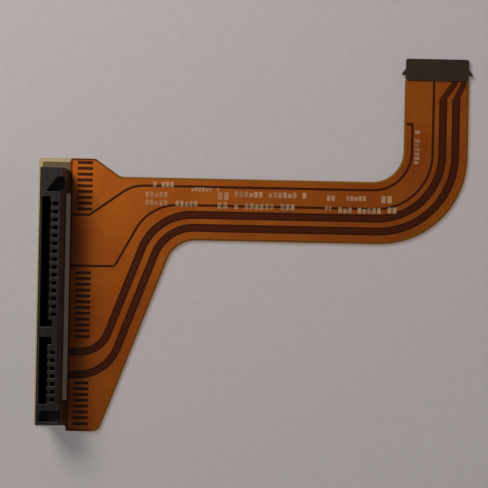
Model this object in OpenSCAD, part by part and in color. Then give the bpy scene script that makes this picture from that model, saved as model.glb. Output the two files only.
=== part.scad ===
// Flat flex cable: a 22-way drive receptacle on a stiffened, flared end, a
// strip that turns one right-angle corner, and a latched insertion tail.
//
// The origin is on the stiffener board's underside, below the middle of the
// receptacle. +X runs along the strip towards the leg, +Y along the leg towards
// the tail's tip, +Z out of the receptacle's mating face. Millimetres throughout.

/* [Receptacle contacts] */
// Spacing of neighbouring contacts
contact_pitch = 1.27; // [1.2:0.01:1.35]
// Contacts in the power row
power_count = 15; // [12:1:17]
// Contacts in the signal row
signal_count = 7; // [7:1:9]
// From the power row's first contact to the signal row's last
row_gap = 6.1; // [5.6:0.1:7.5]
// Width of one contact blade, along the row
contact_w = 0.5; // [0.35:0.05:0.6]
// Thickness of the strip that the contacts are stamped from
contact_t = 0.2; // [0.12:0.02:0.24]
// How far a contact's bow stands into the slot
contact_bow = 0.25; // [0.1:0.05:0.35]

/* [Receptacle housing] */
// Width of the housing's mating face
housing_w = 3.65; // [3.4:0.05:4.2]
// Height of the housing above the film
housing_h = 6.8; // [6.2:0.1:8.5]
// Width of the slots for the drive's tongue
slot_w = 1.35; // [1.3:0.05:1.5]
// Thickness of the outer wall beside the slots
outer_wall = 0.35; // [0.3:0.05:0.6]
// Depth that the drive's tongue enters
mating_depth = 4.9; // [4:0.1:5.2]
// Clear length of the power slot past its last contact
power_slot_end = 1.2; // [0.9:0.1:2]
// Clear length of the power slot before its first contact, with the key hook
power_hook_end = 2.02; // [1.8:0.02:2.5]
// Clear length of the signal slot before its first contact
signal_slot_end = 0.75; // [0.6:0.05:1]
// Clear length of the signal slot past its last contact, with the key hook
signal_hook_end = 2.48; // [2:0.02:2.6]
// Length of each key hook along the slot
hook_len = 1.2; // [0.8:0.1:1.4]
// Reach of each key hook past the slot's contact wall
hook_reach = 0.65; // [0.4:0.05:0.8]
// Length of the end block beyond the power slot
power_end_block = 4.75; // [4.4:0.05:6]
// Length of the end block beyond the signal slot
signal_end_block = 3.3; // [3.3:0.05:5]
// Set-back of the side wall between the end blocks
wall_setback = 0.35; // [0.1:0.05:0.4]
// From the power slot's end to where the set-back begins
block_setback = 0.8; // [0.4:0.1:1.2]
// Width of the ledge along the set-back wall
ledge_w = 0.8; // [0.7:0.05:1]
// Height of the ledge's top above the film
ledge_h = 1.5; // [1.4:0.1:3]
// Thickness of the ledge at the wall
ledge_t = 0.85; // [0.7:0.05:0.85]
// Width and drop of the slope along the ledge's outer edge
ledge_slope = 0.65; // [0.2:0.05:0.65]
// Lead-in chamfer round the slots
lead_in = 0.15; // [0.05:0.05:0.2]
// Depth of the moulded pockets in the end blocks
pocket_depth = 2.2; // [1.2:0.1:3]

/* [Stiffener board and film stack] */
// Thickness of the stiffener board
board_t = 0.3; // [0.2:0.1:0.8]
// Bare rim of board that shows round the film at the receptacle
board_rim = 0.65; // [0.4:0.05:1]
// Thickness of the shielding film on the base film's underside
shield_t = 0.03; // [0.02:0.005:0.05]
// From the base film's edge to the shielding film's edge
shield_rim = 0.4; // [0.35:0.05:0.6]
// Thickness of the base film, where it lies on the board
base_t = 0.08; // [0.06:0.01:0.12]
// Thickness of the copper
copper_t = 0.035; // [0.018:0.001:0.07]
// Thickness of the cover film above the copper
cover_t = 0.05; // [0.025:0.005:0.08]
// Thickness of the printed marks
ink_t = 0.015; // [0.01:0.005:0.03]
// Copper-free rim along the film's edges
edge_rim = 0.35; // [0.25:0.05:0.4]

/* [Film outline] */
// Board left clear beyond each end of the housing
flare_margin = 1.95; // [1.6:0.05:3]
// From the receptacle's centre line to the board's outer edge
flare_left = 3.3; // [3.2:0.1:5]
// From the receptacle's centre line to the board's inner edge
board_right = 6.2; // [5.9:0.1:7]
// From the receptacle's centre line to where the strip's straight edge begins
strip_start = 10.4; // [9.6:0.2:11]
// Width of the strip
strip_w = 10.35; // [10.3:0.05:12]
// Height of the strip's middle above the receptacle's middle
strip_y = 14.6; // [13.5:0.1:15]
// Width of the leg
leg_w = 10.7; // [10.5:0.1:12]
// From the receptacle's centre line to the leg's middle
leg_x = 62.7; // [50:1:90]
// Radius of the corner's inner edge
corner_inner_r = 5.2; // [4:0.2:7]
// Radius of the corner's outer edge
corner_outer_r = 14.6; // [12:0.2:16]
// Slope of the flare's long edge, in degrees from the strip
flare_slope = 69.3; // [67:0.5:72]
// Where the flare's long edge crosses the receptacle's middle
flare_edge_x = 16.1; // [16:0.1:18]
// Radius between the strip and the flare's long edge
flare_r = 5; // [3:0.5:6]

/* [Insertion tail] */
// Contacts on the tail
tail_count = 20; // [14:2:20]
// Spacing of the tail's contacts
tail_pitch = 0.5; // [0.4:0.05:0.5]
// Film left beside the outer contacts' middles
tail_side = 0.5; // [0.4:0.05:0.6]
// From the receptacle's middle to the tail's tip
tail_tip_y = 40.4; // [38:1:70]
// Length of the tail's stiffener
tail_len = 3.6; // [3.4:0.1:5]
// Thickness of the finished tail
tail_t = 0.3; // [0.24:0.01:0.4]
// Length of the exposed contact fingers
finger_len = 2.6; // [2:0.1:2.8]
// Width of a contact finger
finger_w = 0.35; // [0.2:0.05:0.35]
// Reach of the locking ears
lock_reach = 0.6; // [0.3:0.1:1]
// Length of the locking ears along the tail
lock_len = 1.1; // [0.6:0.1:1.2]
// From the tip to the locking ears' square shoulders
lock_from_tip = 2.75; // [2.2:0.05:3]

/* [Copper pattern] */
// Width of the gaps between the copper areas
gap_w = 0.4; // [0.3:0.05:0.5]
// From the strip's inner edge to the middle of the supply gap
supply_gap_in = 1.4; // [1.1:0.05:1.6]
// Width of the return plane along the strip
return_w = 0.72; // [0.6:0.02:1.2]
// From the strip's outer edge to the middle of the first signal pair
pair_a_in = 4.25; // [4.2:0.05:4.8]
// From the strip's outer edge to the middle of the second signal pair
pair_b_in = 2.1; // [1.8:0.05:2.15]
// Width of the copper-free channel that a signal pair runs in
channel_w = 1.35; // [1:0.05:1.4]
// Width of a signal trace
trace_w = 0.14; // [0.1:0.01:0.2]
// Spacing of the two traces of a pair
trace_pitch = 0.34; // [0.3:0.02:0.44]
// Spacing of the relief slots beside the receptacle
relief_pitch = 0.965; // [0.9:0.005:1.1]
// Width of a relief slot
relief_w = 0.5; // [0.3:0.05:0.6]
// Length of a relief slot
relief_len = 2.55; // [1.8:0.05:2.55]

/* [Solder lands] */
// Width of a contact's solder pad
pad_w = 0.7; // [0.6:0.05:0.8]
// Reach of the solder pads past the housing's side wall
pad_reach = 0.45; // [0.4:0.05:0.7]
// Reach of the contacts' solder feet past the housing's side wall
foot_reach = 0.35; // [0.2:0.05:0.4]
// Clearance between a solder pad and the cover film, and again to the copper
pad_clear = 0.2; // [0.15:0.05:0.25]
// Width of a hold-down tab
hold_w = 2.4; // [1.8:0.2:2.8]
// Reach of a hold-down's foot past the housing's end
hold_reach = 0.45; // [0.4:0.05:0.8]

/* [Hidden] */
ARC_STEP = 5;
OVER = 0.5;

// Heights of the layers, from the board's underside
base_z = board_t;
copper_z = base_z + base_t;
pad_top_z = copper_z + copper_t;
cover_z = pad_top_z + cover_t;
housing_top_z = copper_z + housing_h;
slot_floor_z = housing_top_z - mating_depth;

// The receptacle's row, centred on its housing
signal_len = (signal_count - 1) * contact_pitch;
power_len = (power_count - 1) * contact_pitch;
row_len = signal_len + row_gap + power_len;
housing_len = signal_end_block + signal_slot_end + row_len + power_slot_end + power_end_block;
housing_half = housing_len / 2;
signal_first_y = -housing_half + signal_end_block + signal_slot_end;
signal_last_y = signal_first_y + signal_len;
power_first_y = signal_last_y + row_gap;
power_last_y = power_first_y + power_len;
signal_slot = [signal_first_y - signal_slot_end, signal_last_y + signal_hook_end];
power_slot = [power_first_y - power_hook_end, power_last_y + power_slot_end];
housing_side = housing_w / 2;
wall_side = housing_side - wall_setback;
slot_left = outer_wall - housing_side;
slot_right = slot_left + slot_w;

// Contact bores: a slit that grips the blade, with room above it to flex
groove_side_clear = 0.07;
groove_back = 1.15;
blade_x = 0.75;
foot_end = wall_side + foot_reach;
foot_z = pad_top_z + contact_t / 2;
channel_top_z = copper_z + 0.55;
chamber_floor_z = copper_z + 1.6;

// Film outline
flare_half = housing_half + flare_margin;
strip_top = strip_y + strip_w / 2;
strip_bottom = strip_y - strip_w / 2;
leg_left = leg_x - leg_w / 2;
leg_right = leg_x + leg_w / 2;
tail_w = (tail_count - 1) * tail_pitch + 2 * tail_side;
tail_left = leg_x - tail_w / 2;
tail_right = leg_x + tail_w / 2;
tail_root_y = tail_tip_y - tail_len;
lock_y = tail_tip_y - lock_from_tip;
lock_nose = 0.35;
connector_edge = housing_side + 0.2;
foot_step = 0.9;

// Solder lands: the cover film stops clear of the pads, the copper once more
pad_end = wall_side + pad_reach;
pad_rows = [signal_first_y - pad_w / 2, power_last_y + pad_w / 2];
land_edge = pad_end + 2 * pad_clear;

// ---------------------------------------------------------------- outlines --
// A corner is [x, y, r]. Paths and outlines are lists of corners, and every
// outline runs counter-clockwise.

function unit(v) = v / norm(v);
function left_of(v) = [-v.y, v.x];
function cross_z(a, b) = a.x * b.y - a.y * b.x;
function xy(c) = [c.x, c.y];
function reversed(list) = [for (i = [len(list) - 1:-1:0]) list[i]];
function rounding(c) = len(c) > 2 ? c[2] : 0;
function flare_x(edge_x, y) = edge_x + y / tan(flare_slope);

// Points of the arc that rounds corner b between a and c.
function corner_arc(a, b, c) =
    let (
        before = unit(xy(b) - xy(a)),
        after = unit(xy(c) - xy(b)),
        side = sign(cross_z(before, after)),
        turn = acos(max(-1, min(1, before * after))),
        r = rounding(b)
    )
    r < 0.001 || turn < 0.01 ? [xy(b)] :
    let (
        start = xy(b) - before * r * tan(turn / 2),
        centre = start + side * r * left_of(before),
        spoke = start - centre,
        steps = ceil(turn / ARC_STEP)
    )
    [for (k = [0:steps])
        let (w = side * turn * k / steps)
        centre + [spoke.x * cos(w) - spoke.y * sin(w), spoke.x * sin(w) + spoke.y * cos(w)]];

function rounded_outline(corners) =
    let (n = len(corners))
    [for (i = [0:n - 1])
        each corner_arc(corners[(i + n - 1) % n], corners[i], corners[(i + 1) % n])];

function rounded_path(corners) =
    let (n = len(corners))
    [for (i = [0:n - 1])
        each i == 0 || i == n - 1 ? [xy(corners[i])] :
            corner_arc(corners[i - 1], corners[i], corners[i + 1])];

// Corner b moved d to the left of both edges that meet at it.
function moved_corner(a, b, c, d) =
    let (
        n1 = left_of(unit(xy(b) - xy(a))),
        n2 = left_of(unit(xy(c) - xy(b))),
        side = sign(cross_z(n1, n2)),
        place = xy(b) + d * (n1 + n2) / (1 + n1 * n2),
        r = rounding(b)
    )
    [place.x, place.y, r == 0 ? 0 : max(0.02, r - side * d)];

function moved_outline(corners, d) =
    let (n = len(corners))
    [for (i = [0:n - 1])
        moved_corner(corners[(i + n - 1) % n], corners[i], corners[(i + 1) % n], d)];

function moved_path(corners, d) =
    let (
        n = len(corners),
        first = xy(corners[0]) + d * left_of(unit(xy(corners[1]) - xy(corners[0]))),
        last = xy(corners[n - 1]) + d * left_of(unit(xy(corners[n - 1]) - xy(corners[n - 2])))
    )
    [for (i = [0:n - 1])
        i == 0 ? first : i == n - 1 ? last :
            moved_corner(corners[i - 1], corners[i], corners[i + 1], d)];

// A band of one width along a path.
function ribbon(corners, width) = concat(
    rounded_path(moved_path(corners, -width / 2)),
    reversed(rounded_path(moved_path(corners, width / 2)))
);

// ------------------------------------------------------------- film shapes --

// The tail's end, with its locking ears or plain.
function tail_corners(ears) = [
    [leg_right, tail_root_y],
    [tail_right, tail_root_y],
    if (ears) each [
        [tail_right, lock_y],
        [tail_right + lock_reach, lock_y],
        [tail_right + lock_reach, lock_y + lock_nose],
        [tail_right, lock_y + lock_len]
    ],
    [tail_right, tail_tip_y, 0.3],
    [tail_left, tail_tip_y, 0.3],
    if (ears) each [
        [tail_left, lock_y + lock_len],
        [tail_left - lock_reach, lock_y + lock_nose],
        [tail_left - lock_reach, lock_y],
        [tail_left, lock_y]
    ],
    [tail_left, tail_root_y],
    [leg_left, tail_root_y]
];

// The film's edge from the flare's foot, round the corner to the tail and back
// along the strip to the flare's shoulder.
function cable_edge(ears) = concat(
    [
        [flare_x(flare_edge_x, -flare_half), -flare_half, 1.5],
        [flare_x(flare_edge_x, strip_bottom), strip_bottom, flare_r],
        [leg_right, strip_bottom, corner_outer_r]
    ],
    tail_corners(ears),
    [
        [leg_left, strip_top, corner_inner_r],
        [strip_start, strip_top, 1.5],
        [board_right, flare_half, 1]
    ]
);

function film_corners(ears = true) = concat(
    [
        [-flare_left + board_rim, -flare_half + foot_step, 0.3],
        [connector_edge, -flare_half + foot_step, 0.3],
        [connector_edge, -flare_half, 0.3]
    ],
    cable_edge(ears),
    [
        [connector_edge, flare_half, 0.3],
        [connector_edge, flare_half - board_rim, 0.3],
        [-flare_left + board_rim, flare_half - board_rim, 0.3]
    ]
);

function board_corners() = [
    [-flare_left, -flare_half + foot_step, 0.3],
    [connector_edge, -flare_half + foot_step, 0.3],
    [connector_edge, -flare_half, 0.3],
    [board_right, -flare_half],
    [board_right, flare_half],
    [-flare_left, flare_half, 0.3]
];

// The films' share of the outline right of a line beside the receptacle.
module right_of(x) {
    translate([x, -2 * flare_half]) square([2 * leg_right, 4 * flare_half + tail_tip_y]);
}

module pad_window(clear) {
    translate([0, pad_rows[0] - clear])
        square([pad_end + clear, pad_rows[1] - pad_rows[0] + 2 * clear]);
}

module cover_outline() {
    difference() {
        intersection() {
            polygon(rounded_outline(film_corners()));
            right_of(connector_edge);
        }
        pad_window(pad_clear);
    }
}

// Everything that copper may cover.
module copper_field() {
    difference() {
        intersection() {
            polygon(rounded_outline(moved_outline(film_corners(ears = false), edge_rim)));
            right_of(connector_edge + edge_rim);
        }
        pad_window(2 * pad_clear);
    }
}

module layer(z, thickness) {
    translate([0, 0, z]) linear_extrude(height = thickness) children();
}

// --------------------------------------------------------- copper routing --
// Each lane starts left of the copper, runs along the strip at its own distance
// from the outer edge, and turns up the leg.

lane_over = 1;
lane_start = connector_edge - lane_over;
lane_end = tail_tip_y + lane_over;

// Heights at which the lanes leave the receptacle, above or below its contacts
land_shift = 0.2;
pair_rise = 1.5;
supply_y = power_contact_y(power_count - 1) - land_shift;
return_y = power_contact_y(floor(power_count / 2)) + land_shift;
pair_a_y = signal_contact_y(signal_count - 1.5) + pair_rise;
pair_b_y = signal_contact_y(2.5) + pair_rise;

// Distances along X from the flare's long edge
flare_pair_b = 2.45;
flare_pair_a = 4.95;
flare_return_low = 8.3;
flare_return_high = 6.5;

// Bends of the lanes on the flare: at the receptacle and at the strip
supply_bends = [0.6, 6];
return_bends = [0.8, 8];
pair_a_bends = [5, 9];
pair_b_bends = [7, 7];
supply_inset = 0.9;
supply_lead = 2;

// The supply gap stops short of the tail, and the pairs fan out to their fingers
supply_stop = 7.3;
supply_stop_y = tail_root_y - supply_stop;
fan_rest = 0.3;
fan_slope = 1.4;
fan_bend = 0.6;
fan_channel_w = 2 * tail_pitch;
fan_end_y = tail_root_y - fan_rest;
pair_a_fingers = [tail_count - 5, tail_count - 4];
pair_b_fingers = [tail_count - 2, tail_count - 1];
return_gap_in = pair_a_in + channel_w / 2 + return_w + gap_w / 2;

function lane_r(in) = corner_outer_r - (corner_outer_r - corner_inner_r) * in / strip_w;
function lane_corner(in) = [leg_right - in, strip_bottom + in, lane_r(in)];
function finger_x(i) = leg_x + (i - (tail_count - 1) / 2) * tail_pitch;
function finger_middle(fingers) = (finger_x(fingers[0]) + finger_x(fingers[1])) / 2;
function signal_contact_y(i) = signal_first_y + (i - 1) * contact_pitch;
function power_contact_y(i) = power_first_y + (i - 1) * contact_pitch;

fan_y = fan_end_y - fan_slope * abs(finger_middle(pair_a_fingers) - leg_right + pair_a_in);

supply_gap = [
    [lane_start, supply_y],
    [board_right - supply_inset, supply_y, supply_bends[0]],
    [strip_start + supply_lead, strip_top - supply_gap_in, supply_bends[1]],
    [leg_left + supply_gap_in, strip_top - supply_gap_in, lane_r(strip_w - supply_gap_in)],
    [leg_left + supply_gap_in, supply_stop_y],
    [leg_left - lane_over, supply_stop_y]
];

return_gap = [
    [lane_start, return_y],
    [flare_x(flare_edge_x - flare_return_low, return_y), return_y, return_bends[0]],
    [
        flare_x(flare_edge_x - flare_return_high, strip_bottom + return_gap_in),
        strip_bottom + return_gap_in,
        return_bends[1]
    ],
    lane_corner(return_gap_in),
    [leg_right - return_gap_in, lane_end]
];

// The middle line of a signal pair, or of one trace beside it.
function pair_path(in, flare_in, land_y, bends, fingers, offset) =
    let (
        leg = leg_right - in + offset,
        strip = strip_bottom + in - offset,
        low = land_y - offset,
        edge = flare_edge_x - flare_in + offset / sin(flare_slope),
        finger = finger_middle(fingers) + sign(offset) * tail_pitch / 2
    )
    [
        [land_edge, low],
        [flare_x(edge, low), low, bends[0]],
        [flare_x(edge, strip), strip, bends[1]],
        [leg, strip, lane_r(in - offset)],
        [leg, fan_y, fan_bend],
        [finger, fan_end_y, fan_bend],
        [finger, tail_tip_y - lane_over]
    ];

function pair_a_path(offset) = pair_path(
    pair_a_in, flare_pair_a, pair_a_y, pair_a_bends, pair_a_fingers, offset);
function pair_b_path(offset) = pair_path(
    pair_b_in, flare_pair_b, pair_b_y, pair_b_bends, pair_b_fingers, offset);

// A trace with its short run from the solder pad at pad_y.
function trace_path(middle, pad_y) = concat(
    [[pad_end - trace_w, pad_y], [pad_end, pad_y], [middle[0].x, middle[0].y, trace_w]],
    [for (i = [1:len(middle) - 1]) middle[i]]
);

// A pair's middle line, carried on past both of its ends.
function channel_line(middle) = concat(
    [[lane_start, middle[0].y]],
    [for (i = [1:len(middle) - 2]) middle[i]],
    [[middle[len(middle) - 1].x, lane_end]]
);

// The copper-free channel that a pair runs in: it narrows where the fan begins.
module channel(middle) {
    line = channel_line(middle);
    polygon(ribbon([for (i = [0:4]) line[i]], channel_w));
    polygon(ribbon(line, fan_channel_w));
}

// Relief slots stand beside the receptacle wherever no lane crosses.
relief_inset = 0.45;
relief_end = 0.7;
relief_right = board_right - relief_inset;
relief_first_y = flare_half - relief_end;
relief_rows = floor(2 * relief_first_y / relief_pitch);
relief_above = supply_y + gap_w / 2 + relief_w;
relief_below_return = return_y - gap_w / 2 - relief_w;
relief_above_pairs = pair_a_y + channel_w / 2 + 2.5 * relief_w;
relief_below_pairs = pair_b_y - channel_w / 2 - relief_w;

function relief_used(y) =
    y > relief_above || (y < relief_below_return && y > relief_above_pairs) || y < relief_below_pairs;

module relief_slots() {
    for (i = [0:relief_rows])
        let (y = relief_first_y - i * relief_pitch)
            if (relief_used(y))
                translate([relief_right - relief_len, y - relief_w / 2])
                    square([relief_len, relief_w]);
}

// The copper on one side of a lane, as far as the corners in far_side.
module beside(edge, far_side) {
    difference() {
        intersection() {
            copper_field();
            polygon(concat(edge, far_side));
        }
        channel(pair_a_path(0));
        channel(pair_b_path(0));
        relief_slots();
    }
}

function lane_left(lane, width) = rounded_path(moved_path(lane, width / 2));
function lane_right(lane, width) = rounded_path(moved_path(lane, -width / 2));
far_top = 2 * lane_end;
far_right = 2 * leg_right;

module ground_border_area() {
    beside(lane_left(supply_gap, gap_w), [[leg_left - lane_over, far_top], [lane_start, far_top]]);
}

module supply_area() {
    beside(
        lane_right(supply_gap, gap_w),
        concat(
            [[leg_left - lane_over, lane_end], [leg_right - return_gap_in - gap_w / 2, lane_end]],
            reversed(lane_left(return_gap, gap_w))
        )
    );
}

module return_area() {
    beside(lane_right(return_gap, gap_w), reversed(lane_left(channel_line(pair_a_path(0)), 0)));
}

module guard_area() {
    beside(
        lane_right(channel_line(pair_a_path(0)), 0),
        reversed(lane_left(channel_line(pair_b_path(0)), 0))
    );
}

module edge_ground_area() {
    beside(
        lane_right(channel_line(pair_b_path(0)), 0),
        [[far_right, lane_end], [far_right, -far_top], [lane_start, -far_top]]
    );
}

module trace_area(middle, pad_y) {
    polygon(ribbon(trace_path(middle, pad_y), trace_w));
}

module a_outer_area() { trace_area(pair_a_path(-trace_pitch / 2), signal_contact_y(signal_count - 1)); }
module a_inner_area() { trace_area(pair_a_path(trace_pitch / 2), signal_contact_y(signal_count - 2)); }
module b_outer_area() { trace_area(pair_b_path(-trace_pitch / 2), signal_contact_y(3)); }
module b_inner_area() { trace_area(pair_b_path(trace_pitch / 2), signal_contact_y(2)); }

module all_traces() {
    a_outer_area();
    a_inner_area();
    b_outer_area();
    b_inner_area();
}

module all_copper() {
    ground_border_area();
    supply_area();
    return_area();
    guard_area();
    edge_ground_area();
    all_traces();
}

copper_color = "#B8672A";

module ground_border() { color(copper_color) layer(copper_z, copper_t) ground_border_area(); }
module supply_plane() { color(copper_color) layer(copper_z, copper_t) supply_area(); }
module return_plane() { color(copper_color) layer(copper_z, copper_t) return_area(); }
module guard_strip() { color(copper_color) layer(copper_z, copper_t) guard_area(); }
module edge_ground() { color(copper_color) layer(copper_z, copper_t) edge_ground_area(); }
module pair_a_outer() { color(copper_color) layer(copper_z, copper_t) a_outer_area(); }
module pair_a_inner() { color(copper_color) layer(copper_z, copper_t) a_inner_area(); }
module pair_b_outer() { color(copper_color) layer(copper_z, copper_t) b_outer_area(); }
module pair_b_inner() { color(copper_color) layer(copper_z, copper_t) b_inner_area(); }

// ------------------------------------------------------------ board, films --

module stiffener_board() {
    color("#B9B878") layer(0, board_t) polygon(rounded_outline(board_corners()));
}

finger_margin = 0.15;

module finger_row() {
    for (i = [0:tail_count - 1])
        translate([finger_x(i) - finger_w / 2, tail_tip_y - finger_margin - finger_len])
            square([finger_w, finger_len]);
}

// Shielding film, sunk into the base film's underside: it stops short of the film's
// rim, of the receptacle and of the tail's fingers.
module shield_outline() {
    difference() {
        intersection() {
            polygon(rounded_outline(moved_outline(film_corners(ears = false), shield_rim)));
            right_of(connector_edge + shield_rim);
        }
        translate([leg_left - leg_w, tail_root_y + shield_rim]) square([3 * leg_w, 2 * tail_len]);
    }
}

module shield_film() {
    color("#14110F") layer(base_z, shield_t) shield_outline();
}

// Base film, open under the tail's fingers.
module base_film() {
    color("#A85F12")
        difference() {
            layer(base_z, base_t)
                difference() {
                    polygon(rounded_outline(film_corners()));
                    finger_row();
                }
            layer(base_z - OVER, shield_t + OVER) shield_outline();
        }
}

// Cover film: it fills between the copper areas and lies over them.
module cover_film() {
    color("#C8791A", 0.55)
        difference() {
            layer(copper_z, copper_t + cover_t) cover_outline();
            layer(copper_z - OVER, copper_t + OVER) all_copper();
        }
}

// ------------------------------------------------------------ solder lands --

function contact_rows() = concat(
    [for (i = [1:signal_count]) signal_contact_y(i)],
    [for (i = [1:power_count]) power_contact_y(i)]
);

hold_pad_side = 0.25;

module hold_down_pads() {
    for (side = [-1, 1])
        translate([-hold_w / 2 - hold_pad_side, side > 0 ? housing_half : -housing_half - hold_reach])
            square([hold_w + 2 * hold_pad_side, hold_reach]);
}

// The traces run a little way into their pads, which are notched round them.
module solder_pads() {
    color("#C9C4B4")
        layer(copper_z, copper_t) {
            difference() {
                for (y = contact_rows())
                    translate([wall_side, y - pad_w / 2])
                        square([pad_end - wall_side, pad_w]);
                all_traces();
            }
            hold_down_pads();
        }
}

// ---------------------------------------------------------------- contacts --

// A profile drawn in X and Z, extruded along Y about y.
module across(y, width) {
    translate([0, y + width / 2, 0])
        rotate([90, 0, 0])
            linear_extrude(height = width) children();
}

bow_x = slot_right - contact_bow + contact_t / 2;
bow_z = housing_top_z - 1.6;
tip_z = housing_top_z - 0.6;
spring_root_z = chamber_floor_z + 0.8;

// One stamped contact: solder foot, gripped blade, spring bowed into the slot.
module contact(y) {
    spine = [
        [foot_end, foot_z],
        [blade_x, foot_z, 0.2],
        [blade_x, spring_root_z, 1.5],
        [bow_x, bow_z, 0.35],
        [bow_x + 0.42, tip_z]
    ];
    color("#C9A24A") across(y, contact_w) polygon(ribbon(spine, contact_t));
}

hold_root = 0.9;
hold_top_z = copper_z + 2.8;

// Hold-down spine in Y and Z, for the end on the given side.
function hold_spine(side) = [
    [side * (housing_half + hold_reach), foot_z],
    [side * (housing_half - hold_root), foot_z, 0.2],
    [side * (housing_half - hold_root), hold_top_z]
];

module along_housing(width) {
    translate([-width / 2, 0, 0])
        rotate([90, 0, 90])
            linear_extrude(height = width) children();
}

module hold_down(side) {
    color("#B9B7B0") along_housing(hold_w) polygon(ribbon(hold_spine(side), contact_t));
}

// ----------------------------------------------------------------- housing --

module block(x, y, z) {
    translate([x[0], y[0], z[0]]) cube([x[1] - x[0], y[1] - y[0], z[1] - z[0]]);
}

hook_right = slot_right + hook_reach;
ledge_right = wall_side + ledge_w;
slot_bottom_z = copper_z + 0.5;
rib_len = 2.2;
power_ribs = [power_first_y + power_len / 3 - 0.2, power_last_y - contact_pitch * 3.5];
signal_ribs = [signal_first_y + contact_pitch * 4 - 0.2];

// A slot with its key hook at one end, ribs across its floor at rib_places.
module tongue_slot(span, hook, rib_places) {
    difference() {
        block([slot_left, slot_right], span, [slot_bottom_z, housing_top_z + OVER]);
        for (y = rib_places)
            block([slot_left, slot_right], [y - rib_len / 2, y + rib_len / 2],
                [copper_z, slot_floor_z]);
    }
    block([slot_right - OVER, hook_right], hook, [slot_floor_z, housing_top_z + OVER]);
}

// The chamfer that leads the tongue in, as one wedge along each long edge.
module lead_in_wedges(span) {
    for (edge = [[slot_left, -1], [slot_right, 1]])
        translate([0, span[1], 0])
            rotate([90, 0, 0])
                linear_extrude(height = span[1] - span[0])
                    polygon([
                        [edge[0], housing_top_z - lead_in],
                        [edge[0] + edge[1] * lead_in, housing_top_z],
                        [edge[0] + edge[1] * lead_in, housing_top_z + OVER],
                        [edge[0] - edge[1] * lead_in, housing_top_z + OVER],
                        [edge[0] - edge[1] * lead_in, housing_top_z - lead_in]
                    ]);
}

// The bore that one contact sits in.
module contact_bore(y) {
    groove_w = contact_w + 2 * groove_side_clear;
    block([slot_right - OVER, groove_back], [y - groove_w / 2, y + groove_w / 2],
        [chamber_floor_z, housing_top_z + OVER]);
    block([blade_x - contact_t / 2, blade_x + contact_t / 2], [y - contact_w / 2, y + contact_w / 2],
        [copper_z, chamber_floor_z + OVER]);
    block([blade_x - contact_t / 2, ledge_right + OVER], [y - groove_w / 2, y + groove_w / 2],
        [copper_z - OVER, channel_top_z]);
}

module hold_down_bore(side) {
    along_housing(hold_w) polygon(ribbon(hold_spine(side), contact_t));
    along_housing(hold_w)
        polygon([
            [side * (housing_half - hold_root - contact_t / 2), copper_z - OVER],
            [side * (housing_half + OVER), copper_z - OVER],
            [side * (housing_half + OVER), foot_z + contact_t],
            [side * (housing_half - hold_root + contact_t / 2), foot_z + contact_t],
            [side * (housing_half - hold_root - contact_t / 2), foot_z + contact_t]
        ]);
}

pocket_rim = 0.5;

// The pocket in an end block's top, open to the long side, one side slanted by cut.
module end_pocket(from, y, cut) {
    translate([0, 0, housing_top_z - pocket_depth])
        linear_extrude(height = pocket_depth + OVER)
            polygon([
                [from, y[0]],
                [housing_side + OVER, y[0]],
                [housing_side + OVER, y[1]],
                [from + cut, y[1]]
            ]);
}

power_block = [power_slot[1] + block_setback, housing_half];
signal_block = [-housing_half, signal_slot[0]];

// The ledge between the end blocks, its outer edge sloped.
module ledge(span) {
    top = copper_z + ledge_h;
    translate([0, span[1], 0])
        rotate([90, 0, 0])
            linear_extrude(height = span[1] - span[0])
                polygon([
                    [wall_side - OVER, top - ledge_t],
                    [ledge_right, top - ledge_t],
                    [ledge_right, top - ledge_slope],
                    [ledge_right - ledge_slope, top],
                    [wall_side - OVER, top]
                ]);
}

module receptacle_housing() {
    color("#1B1A19")
        difference() {
            union() {
                block([-housing_side, wall_side], [-housing_half, housing_half],
                    [copper_z, housing_top_z]);
                for (end = [power_block, signal_block])
                    block([-housing_side, housing_side], end, [copper_z, housing_top_z]);
                ledge([signal_block[1], power_block[0]]);
            }
            tongue_slot(power_slot, [power_slot[0], power_slot[0] + hook_len], power_ribs);
            tongue_slot(signal_slot, [signal_slot[1] - hook_len, signal_slot[1]], signal_ribs);
            lead_in_wedges(power_slot);
            lead_in_wedges(signal_slot);
            for (y = contact_rows()) contact_bore(y);
            for (side = [-1, 1]) hold_down_bore(side);
            end_pocket(slot_left + 0.6, [power_block[0], housing_half - 3 * pocket_rim], 1.8);
            end_pocket(slot_left, [-housing_half + pocket_rim, signal_slot[0] - 2 * pocket_rim], 0.4);
        }
}

// ---------------------------------------------------------- insertion tail --

// Stiffener on the tail's upper side, cut to the film's shape, ears and all.
module tail_stiffener() {
    color("#35291C")
        layer(cover_z, base_z + tail_t - cover_z)
            intersection() {
                polygon(rounded_outline(film_corners()));
                translate([leg_left - leg_w, tail_root_y]) square([3 * leg_w, 2 * tail_len]);
            }
}

// Plated fingers on the tail's underside, flush with the base film.
module tail_contacts() {
    color("#D8B25A") layer(base_z, base_t) finger_row();
}

// ------------------------------------------------------------ printed marks --

// Rows of marks along the strip: [from strip_start, below strip_top, blocks, height]
MARK_ROWS = [
    [5.4, 1.55, 5, 0.85], [4.2, 3.3, 6, 0.9], [4.2, 4.6, 6, 0.9],
    [11.8, 2.2, 8, 0.7], [9.2, 4.7, 6, 0.9],
    [16.2, 3.5, 2, 1.25], [16.2, 5, 2, 1.1],
    [19, 3, 15, 0.95], [19, 5, 12, 1],
    [33.6, 3.3, 3, 0.9], [37.6, 3.2, 6, 0.8], [43.4, 3.5, 2, 1.2],
    [33.5, 4.9, 3, 0.7], [36.3, 5.3, 9, 0.95], [44.5, 5.2, 2, 1]
];
leg_mark_count = 8;
leg_mark_h = 0.85;
leg_mark_in = 3.1;

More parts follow.
